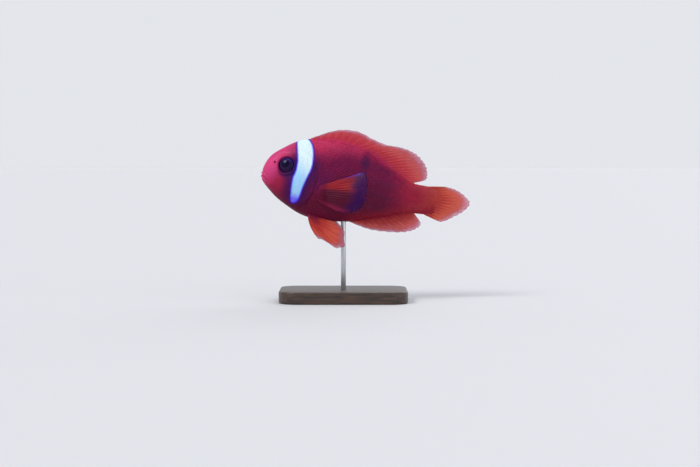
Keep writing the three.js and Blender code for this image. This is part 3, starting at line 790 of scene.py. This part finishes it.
def scale_finish(name, tint, dark):
    """Sprayed film: each scale a touch lighter or darker than the next, and darkest at its free edge."""
    material, tree, shader = new_material(name, Roughness=0.34, Coat_Weight=0.07, Coat_Roughness=0.16,
                                          Specular_IOR_Level=0.2, Specular_Tint=RED_GLOSS,
                                          Subsurface_Weight=0.05, Subsurface_Scale=0.0008)
    place, *_ = fish_shares(tree)
    colour, bar_cover = tint(tree)
    vane = node(tree, "Attribute", attribute_name="vane").outputs["Vector"]
    tone, vane_along, vane_across = node(tree, "SeparateXYZ", {0: vane}).outputs
    off_bar = maths(tree, "SUBTRACT", 1.0, bar_cover)
    heart = band(tree, vane_along, 0.3, 0.6, 0.7, 0.9)
    colour = spray(
        tree, colour,
        (rise(tree, tone, 0.3, 1.0), dark, scaled(tree, off_bar, 0.13, 0.03)),
        (rise(tree, vane_along, 0.78, 1.0), dark, scaled(tree, off_bar, 0.16, 0.04)),
        (heart, SCALE_LIGHT, times(tree, off_bar, 0.1)))
    tree.links.new(colour, shader.inputs["Base Color"])
    grooves = maths(tree, "SINE", times(tree, vane_across, 44.0))
    growth_rings = maths(tree, "SINE", times(tree, vane_along, 60.0))
    bump(tree, shader, scaled(tree, grooves, 0.7, growth_rings), 0.012 * MM, 0.3)
    uneven_gloss(tree, shader, noise(tree, place, 120.0), 0.28, 0.46)
    return material


SCALE_DARK, SCALE_LIGHT = paint(54, 4, 40), paint(214, 66, 88)
body_scale_finish = scale_finish("scale_lacquer", sprayed, SCALE_DARK)


def sample(grid, row, column):
    """Values of a grid at places between its rows and columns."""
    row = np.clip(row, 0, grid.shape[0] - 1.001)
    column = np.clip(column, 0, grid.shape[1] - 1.001)
    i, j = row.astype(int), column.astype(int)
    f, g = (row - i)[..., None], (column - j)[..., None]
    return ((grid[i, j] * (1 - g) + grid[i, j + 1] * g) * (1 - f)
            + (grid[i + 1, j] * (1 - g) + grid[i + 1, j + 1] * g) * f)


def lengths_along(line):
    """How far along a line each of its points lies, in millimetres."""
    return np.append(0, np.cumsum(np.linalg.norm(np.diff(line, axis=0), axis=1))) / MM


def lay_scales(name, finish, points, rows, columns, sizes, tones, bold, patches):
    """Scales with their roots at places on a grid of points, each pointing towards the next row.

    Each has its size, a tone that its colour follows, how boldly it stands out and its patch's middle.
    """
    one = bmesh.new()
    bmesh.ops.create_grid(one, x_segments=3, y_segments=4, size=0.5)
    bmesh.ops.solidify(one, geom=one.faces[:], thickness=1.0)
    flat = np.array([v.co for v in one.verts])
    piece = new_piece(name, one, finish)
    repeat = piece.modifiers.new("all of them", "ARRAY")
    repeat.count = len(rows)
    repeat.use_relative_offset = False
    repeat.use_constant_offset = True
    repeat.constant_offset_displace = (0, 0, 0)
    apply_modifiers(piece)

    # The shape of one scale: a from its root to its free edge, b across it, in its own heights
    a, b, under = flat[:, 0] + 0.5, flat[:, 1] * 2, flat[:, 2] < -0.5
    rounding = 0.42 * b * b * (0.35 + 0.65 * a)
    forwards = SCALE_STEP * 2.0 * (a - rounding * a) - 0.1
    sideways = 0.6 * b * (1 - 0.1 * a)

    # Every scale set down on the skin, its free edge lifting as far as it is large and bold
    rows, columns, bold, sizes = rows[:, None], columns[:, None], bold[:, None], sizes[:, None] * MM
    step = 0.25
    row_way = (sample(points, rows + step, columns) - sample(points, rows - step, columns)) / (2 * step)
    column_way = (sample(points, rows, columns + step) - sample(points, rows, columns - step)) / (2 * step)
    row_at = rows + forwards * sizes / np.linalg.norm(row_way, axis=-1)
    column_at = columns + sideways * sizes / np.linalg.norm(column_way, axis=-1)
    lean = (sizes / (SCALE_HEIGHT * MM)) ** 0.7 * bold
    high = (lean * (-0.03 + 0.12 * a + 0.035 * (1 - b * b)) - VANE_THICK * under) * MM
    normals = sample(outward(points, False), row_at, column_at)
    placed = sample(points, row_at, column_at) + normals * high[..., None]
    piece.data.vertices.foreach_set("co", to_world(placed).ravel())

    # What the finish reads at each point, and each scale's patch of the map
    facts = np.broadcast_arrays(tones[:, None] * bold, a[None] * (0.76 + 0.24 * bold), b[None])
    vane = piece.data.attributes.new("vane", "FLOAT_VECTOR", "POINT")
    vane.data.foreach_set("vector", np.stack(facts, -1).ravel())
    patch = patches[:, None] + np.stack([a - 0.5, b / 2], -1)[None] * PATCH
    corner = np.empty(len(piece.data.loops), int)
    piece.data.loops.foreach_get("vertex_index", corner)
    piece.data.uv_layers.new(name="OFBake").data.foreach_set("uv", patch.reshape(-1, 2)[corner].ravel())
    piece.data.update()
    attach(piece, "root")
    return piece


def scale_size(u):
    """Height of the scales at a place along the fish, in millimetres."""
    return SCALE_HEIGHT * np.interp(u, [0.06, 0.12, 0.2, 0.29, 0.36, 0.75, 1.0, 1.06],
                                    [0.34, 0.46, 0.6, 0.8, 1.0, 0.96, 0.66, 0.5])


# Roots of the scales in rings, each ring half a scale off from the last, on both sides of the ridges
wrapped = np.concatenate([skin_points, skin_points[:, :1]], 1)
ring_x = skin_points[:, :, 0].mean(1) / LENGTH
all_rings, all_columns = np.arange(BODY_RINGS + 1), np.arange(BODY_AROUND + 1.0)
HALF_AROUND = BODY_AROUND // 2
FIRST_RING, LAST_RING = 0.066, 1.03
rings_at = [FIRST_RING]
while rings_at[-1] < LAST_RING:
    rings_at.append(rings_at[-1] + SCALE_STEP * scale_size(rings_at[-1]) * MM / LENGTH)
roots = []
for count, u in enumerate(rings_at):
    row = np.interp(u, ring_x, all_rings)
    length = lengths_along(sample(wrapped, np.full(BODY_AROUND + 1, row), all_columns))
    size = scale_size(u)
    for first in (0, HALF_AROUND):
        lanes = np.arange(-60, 61) + 0.5 * (count % 2)
        at = length[first + HALF_AROUND // 2] + lanes * size
        at = at[(at >= length[first] - 0.01 * size) & (at < length[first + HALF_AROUND] - 0.3 * size)]
        roots += [(row, column, size, u) for column in np.interp(at, length, all_columns)]

# Snout, lips, nostrils and eye rims stay bare, and the scales are fainter the nearer they lie to them
random = np.random.default_rng(11)
roots = np.array(roots)
rows, columns, sizes, u = roots.T
places = sample(wrapped, rows, columns)
v = places[:, 2] / LENGTH
from_eye = from_spot(places[:, 0] / LENGTH, v, EYE_AT)
bare_to = 0.074 + 0.35 * np.maximum(0, v - 0.03) + 0.004 * np.sin(v * 90) + random.normal(0, 0.0025, len(v))
clear_of_bare = np.minimum.reduce([
    (u - bare_to) * LENGTH / MM, from_eye - EYE_RADIUS - 1.2, np.abs(from_line(u, v, MOUTH)[0]) - 2.6,
    from_spot(u, v, NOSTRIL) - 1.5])
covered = (clear_of_bare > 0) & (from_eye > EYE_RADIUS + 2.0)
bold = (0.05 + 0.95 * fade(clear_of_bare, 0, 6))[covered]
rows, columns, sizes, u = roots[covered].T
rows = rows + random.normal(0, 0.03, len(rows)) * sizes
columns = columns + random.normal(0, 0.03, len(rows)) * sizes
sizes = sizes * random.uniform(0.97, 1.05, len(rows))
tones = random.random(len(rows))
patches = np.stack([rows / BODY_RINGS, columns / BODY_AROUND], 1) * 0.98 + 0.01
OVERLAP = 3
extended = np.concatenate([wrapped[:, -OVERLAP - 1:-1], wrapped, wrapped[:, 1:OVERLAP + 1]], 1)
COATS = {"head_scales": (0, 0.245), "shoulder_scales": (0.245, 0.43), "flank_scales": (0.43, 0.66),
         "tail_stalk_scales": (0.66, 1.2)}
for name, (start, end) in COATS.items():
    chosen = (u >= start) & (u < end)
    piece = lay_scales(name, body_scale_finish, extended, rows[chosen], columns[chosen] + OVERLAP,
                       sizes[chosen], tones[chosen], bold[chosen], patches[chosen])


def wrap_grid(fin, ray, outwards):
    """Both walls of a fin as one grid of points, out along one wall's rays and back along the other's."""
    walls = [fin_walls(fin, ray, outwards, side) for side in (-1, 1)]
    grid = np.concatenate([walls[0], walls[1][:, ::-1]], 1)
    inwards = (outward(grid, False)[8:, :ray.shape[1]] @ np.array(fin["normal"], float)).mean() > 0
    return grid[:, ::-1] if inwards else grid


GRID_ROWS = 40
FIN_SCALE_SIZES = {"pectoral": (0.95, 0.36), "pelvic": (0.85, 0.35)}
coat_finishes = {
    kind: scale_finish(kind + "_scale_lacquer", lambda tree: (fin_colour(tree, kind)[0], 0.0), FIN_DEEP)
    for kind in FIN_TINTS}
for fin in fins:
    kind = fin["kind"]
    ray, outwards = np.meshgrid(np.linspace(0, fin["rays"] - 1, (fin["rays"] - 1) * 3 + 1),
                                np.linspace(0, 1, GRID_ROWS + 1))
    points = wrap_grid(fin, ray, outwards)
    reach = np.linalg.norm(points[-1] - points[0], axis=-1) / MM
    wide = np.arange(points.shape[1], dtype=float)
    furthest = fin["scaly"] * reach.max()
    distance, count, roots = fin["scaly_from"], 0, []
    while distance < furthest:
        size = np.interp(distance / furthest, [0, 1], FIN_SCALE_SIZES.get(kind, (0.95, 0.45)))
        share = distance / reach
        run = lengths_along(sample(points, share * GRID_ROWS, wide))
        at = np.interp(np.arange(0.5 + 0.5 * (count % 2), run[-1] / size - 0.5) * size, run, wide)
        out = np.interp(at, wide, share)
        kept = out < fin["scaly"] * (1.05 - 0.2 * random.random(len(out)))
        roots += [(o * GRID_ROWS, c, size, o) for o, c in zip(out[kept], at[kept])]
        distance += SCALE_STEP * size
        count += 1
    rows, columns, sizes, out = np.array(roots).T
    bold = 0.9 * fade(out, fin["scaly"] * 1.1, fin["scaly"] * 0.4) + 0.1
    patches = np.stack([columns / len(wide), rows / GRID_ROWS], 1) * 0.98 + 0.01
    piece = lay_scales(fin["name"] + "_fin_scales", coat_finishes[kind], points, rows, columns, sizes,
                       random.random(len(rows)), bold, patches)
    rays = piece.data.attributes.new("ray", "FLOAT_VECTOR", "POINT")
    flipped = not np.allclose(points[-1, 0], fin_walls(fin, ray, outwards, -1)[-1, 0])
    on_ray = np.concatenate([ray[0], ray[0][::-1]])[:: -1 if flipped else 1]
    per_scale = np.stack([np.interp(columns, wide, on_ray) / RAYS_IN_ALL, out + 0.03, np.zeros(len(rows))], 1)
    points_each = len(piece.data.vertices) // len(rows)
    rays.data.foreach_set("vector", np.repeat(per_scale, points_each, axis=0).ravel())


# ---- Eyes --------------------------------------------------------------------------------
# Each eye is a glass cabochon with its pupil and iris painted on the back, so that they seem to
# lie under a clear dome. It is set into the socket in the cast head and stands a little proud.

EYE_DEPTH = 2.3
EYE_TOP = 7.1
EYE_FORWARD = math.radians(17)
EYE_UPWARD = math.radians(10)
PUPIL = 0.46
PUPIL_LONG = 0.94
PUPIL_AT = (-0.07 / PUPIL_LONG, 0.07)

eye_finish, tree, shader = new_material("eye_glass", Roughness=0.22, Coat_Weight=0.12, Coat_Roughness=0.03,
                                        Specular_IOR_Level=0.2, Specular_Tint=(0.35, 0.28, 1.0, 1))
place, *_ = fish_shares(tree)
disc = node(tree, "Attribute", attribute_name="disc").outputs["Vector"]
_, eye_z, _ = node(tree, "SeparateXYZ", {0: disc}).outputs
pupil_far = far_from(tree, disc, PUPIL_AT, (PUPIL_LONG, 1))
fibres = noise(tree, place, 260.0, 4.0)
colour = spray(
    tree, paint(16, 6, 44),
    (rise(tree, fibres, 0.4, 0.7), paint(34, 12, 56)),
    # The iris is bluer at its top, a painted sheen of light from above, and redder at its foot
    (rise(tree, eye_z, 0.0, 0.8), paint(32, 16, 92)),
    (rise(tree, eye_z, -0.1, -0.7), paint(44, 10, 40), 0.5),
    (rise(tree, far_from(tree, disc, (0, 0)), 0.8, 0.96), paint(14, 4, 26)),
    (rise(tree, pupil_far, PUPIL + 0.14, PUPIL + 0.06), paint(58, 22, 66), 0.7),
    (rise(tree, pupil_far, PUPIL + 0.05, PUPIL), paint(4, 3, 26)))
tree.links.new(colour, shader.inputs["Base Color"])
bump(tree, shader, fibres, 0.01 * MM, 0.15)

for side, name in ((-1, "left"), (1, "right")):
    glass = bmesh.new()
    bmesh.ops.create_uvsphere(glass, u_segments=64, v_segments=48, radius=1.0)
    layer = glass.verts.layers.float_vector.new("disc")
    tilt = Matrix.Rotation(side * EYE_FORWARD, 3, "Z") @ Matrix.Rotation(side * EYE_UPWARD, 3, "X")
    top = Vector((EYE_AT[0] * LENGTH, side * EYE_TOP * MM, EYE_AT[1] * LENGTH))
    for vertex in glass.verts:
        x, y, z = vertex.co
        wide, turned = math.hypot(x, y) ** 0.8, math.atan2(y, x)
        across, up = wide * math.cos(turned), wide * math.sin(turned)
        out = math.copysign(math.sqrt(max(0.0, 1 - wide * wide)), z) - 1
        spot = tilt @ (Vector((across * EYE_RADIUS, side * out * EYE_DEPTH, up * EYE_RADIUS)) * MM)
        vertex[layer] = (across, up, 0)
        vertex.co = to_world(np.array(top + spot))
    face_outwards(glass)
    eye = new_piece(f"eye_glass_{name}", glass, eye_finish)
    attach(eye, "root")
    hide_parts(f"eye_{name}")


# ---- Stand rod ---------------------------------------------------------------------------
# A straight rod of stainless steel, brushed along its length and chamfered at its ends. It is
# glued into a blind hole in the belly above and into the base below.

ROD_CHAMFER = 0.3 * MM
rod_low, rod_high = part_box("stand_rod")
rod_radius = (rod_high.x - rod_low.x) / 2
steel, tree, shader = new_material("brushed_steel", Metallic=1.0, Roughness=0.3)
brushed = noise(tree, stretched(tree, node(tree, "TexCoord").outputs["Object"], (9000, 9000, 220)), 1.0, 5.0)
grey = spray(tree, paint(176, 178, 182), (rise(tree, brushed, 0.35, 0.7), paint(206, 208, 211)))
tree.links.new(grey, shader.inputs["Base Color"])
uneven_gloss(tree, shader, brushed, 0.22, 0.42)
bump(tree, shader, brushed, 0.01 * MM, 0.3)


def bevel_rims(shape, offset, segments):
    """Bevels the edges of a shape's flat ends."""
    rims = [e for e in shape.edges if abs(e.verts[0].co.z - e.verts[1].co.z) < 0.01 * MM]
    bmesh.ops.bevel(shape, geom=rims, offset=offset, offset_type="OFFSET", affect="EDGES", segments=segments,
                    profile=0.5, material=-1)


rod = bmesh.new()
bmesh.ops.create_cone(rod, cap_ends=True, segments=64, radius1=rod_radius, radius2=rod_radius,
                      depth=rod_high.z - rod_low.z)
bevel_rims(rod, ROD_CHAMFER, 2)
bmesh.ops.translate(rod, vec=(rod_low + rod_high) / 2, verts=rod.verts)
rod = new_piece("steel_rod", rod, steel)
rod.data.set_sharp_from_angle(angle=math.radians(40))
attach(rod, "root")
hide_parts("stand_rod")


# ---- Stand base --------------------------------------------------------------------------
# A flat slab of dark-stained hardwood, sawn out, rounded at its corners, bevelled round its rims
# and rubbed with oil. A blind hole is drilled in its top for the rod.

BASE_CORNER = 9.0 * MM
BASE_BEVEL = 0.8 * MM
ROD_CLEARANCE = 0.1 * MM
base_low, base_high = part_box("stand_base")
base_size = base_high - base_low
slab = bmesh.new()
bmesh.ops.create_cube(slab, size=1.0)
bmesh.ops.scale(slab, vec=base_size, verts=slab.verts)
bmesh.ops.translate(slab, vec=(base_low + base_high) / 2, verts=slab.verts)
uprights = [e for e in slab.edges if abs(e.verts[0].co.z - e.verts[1].co.z) > base_size.z / 2]
bmesh.ops.bevel(slab, geom=uprights, offset=BASE_CORNER, offset_type="OFFSET", affect="EDGES", segments=16,
                profile=0.5, material=-1)
bevel_rims(slab, BASE_BEVEL, 4)

wood, tree, shader = new_material("dark_hardwood", Roughness=0.42, Coat_Weight=0.22, Coat_Roughness=0.22)
grain_place = stretched(tree, node(tree, "TexCoord").outputs["Object"], (26, 260, 260), (0.0, 0.05, 0.06))
rings = noise(tree, grain_place, 2.4, 8.0, Roughness=0.62, Distortion=0.6)
pores = noise(tree, grain_place, 26.0)
grain = spray(
    tree, paint(30, 20, 15),
    (rise(tree, rings, 0.32, 0.66), paint(74, 50, 36)),
    (rise(tree, pores, 0.58, 0.72), paint(18, 12, 9), 0.6))
tree.links.new(grain, shader.inputs["Base Color"])
uneven_gloss(tree, shader, pores, 0.34, 0.55)
bump(tree, shader, maths(tree, "SUBTRACT", rings, pores), 0.05 * MM, 0.5)

base = new_piece("base_slab", slab, wood)
bit = bmesh.new()
bmesh.ops.create_cone(bit, cap_ends=True, segments=64, radius1=rod_radius + ROD_CLEARANCE,
                      radius2=rod_radius + ROD_CLEARANCE, depth=base_size.z)
bmesh.ops.translate(bit, vec=(0, 0, rod_low.z + base_size.z / 2), verts=bit.verts)
merge(base, new_piece("drill_bit", bit), "DIFFERENCE")
base.data.shade_smooth()
base.data.set_sharp_from_angle(angle=math.radians(35))
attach(base, "root")
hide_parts("stand_base")


# ---- Studio ------------------------------------------------------------------------------
# The model stands on a plain pale floor, under wide soft lights from both sides, from behind and
# from above. The camera looks at the fish's left side from nearly level with it.

FLOOR_RADIUS = 6.0
LENS = 82.0
FILM = 36.0
VIEW_WIDE = 0.3507
CAMERA_UP = math.radians(3.0)
LOOK_AT = Vector((3.3, 0.0, 33.9)) * MM

ground = bmesh.new()
bmesh.ops.create_circle(ground, cap_ends=True, segments=128, radius=FLOOR_RADIUS)
floor_finish, *_ = new_material("studio_floor", Roughness=0.8, Base_Color=(0.69, 0.7, 0.72, 1))
floor = new_piece("studio_floor", ground, floor_finish)


def soft_light(name, azimuth, elevation, strength, spread, colour):
    """A wide soft light far off, so that the floor is lit evenly out to the horizon."""
    light = bpy.data.lights.new(name, "SUN")
    light.energy = strength
    light.angle = math.radians(spread)
    light.color = colour
    lamp = bpy.data.objects.new(name, light)
    tilted = Matrix.Rotation(math.radians(90 - elevation), 3, "X")
    lamp.rotation_euler = (Matrix.Rotation(math.radians(azimuth), 3, "Z") @ tilted).to_euler()
    bpy.context.scene.collection.objects.link(lamp)


soft_light("key_light", -52, 46, 1.5, 22, (1.0, 0.97, 0.96))
soft_light("fill_light", 50, 24, 0.55, 60, (0.96, 0.96, 1.0))
soft_light("top_light", 10, 80, 0.7, 50, (0.9, 0.92, 1.0))
soft_light("back_light", 150, 35, 0.7, 45, (0.95, 0.96, 1.0))

air = bpy.data.worlds.new("studio_air")
bpy.context.scene.world = air
air.use_nodes = True
tree = air.node_tree
up = node(tree, "SeparateXYZ", {0: node(tree, "TexCoord").outputs["Generated"]}).outputs["Z"]
dimmer_above = node(tree, "MapRange", {"Value": up, "From Min": 0.2, "From Max": 0.75,
                                       "To Min": 0.83, "To Max": 0.26}).outputs[0]
tree.links.new(dimmer_above, tree.nodes["Background"].inputs["Strength"])
tree.nodes["Background"].inputs["Color"].default_value = (0.93, 0.95, 1.0, 1)
bpy.context.scene.view_settings.view_transform = "Standard"

camera = bpy.data.cameras.new("camera")
camera.lens = LENS
camera.sensor_width = FILM
camera.clip_start = 0.01
camera_object = bpy.data.objects.new("camera", camera)
distance = VIEW_WIDE * LENS / FILM
camera_object.location = LOOK_AT + distance * Vector((0, -math.cos(CAMERA_UP), math.sin(CAMERA_UP)))
camera_object.rotation_euler = (math.pi / 2 - CAMERA_UP, 0, 0)
bpy.context.scene.collection.objects.link(camera_object)
bpy.context.scene.camera = camera_object
